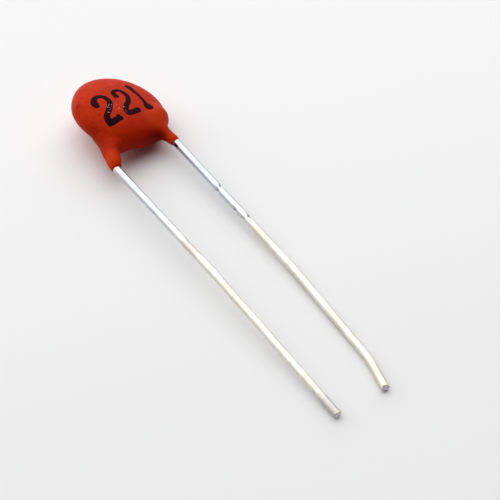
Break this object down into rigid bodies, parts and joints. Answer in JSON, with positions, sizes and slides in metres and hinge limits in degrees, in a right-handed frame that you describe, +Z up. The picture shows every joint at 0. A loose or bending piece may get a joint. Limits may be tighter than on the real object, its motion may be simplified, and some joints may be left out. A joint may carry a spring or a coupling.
{
  "type": "ceramic disc capacitor",
  "caption": "Small radial disc capacitor: a dipped resin disc with a blob on its back and long straight tinned wire leads for soldering through a board.",
  "frame": {"origin": "on the surface that the part lies on, below the middle of its outline", "axes": "+Z up, the leads run toward -Y, the marked face of the disc looks up and is rolled right side down, toward +X"},
  "size_m": [0.0059, 0.0299, 0.003],
  "materials": {
    "coat_resin": "satin",
    "ceramic": "matte",
    "silver": "satin",
    "solder": "satin",
    "tinned_wire": "satin"
  },
  "bodies": {
    "root": {"coat": "coat_resin", "ceramic_disc": "ceramic", "front_electrode": "silver", "rear_electrode": "silver", "front_solder": "solder", "rear_solder": "solder", "front_lead": "tinned_wire", "rear_lead": "tinned_wire"}
  },
  "joints": []
}
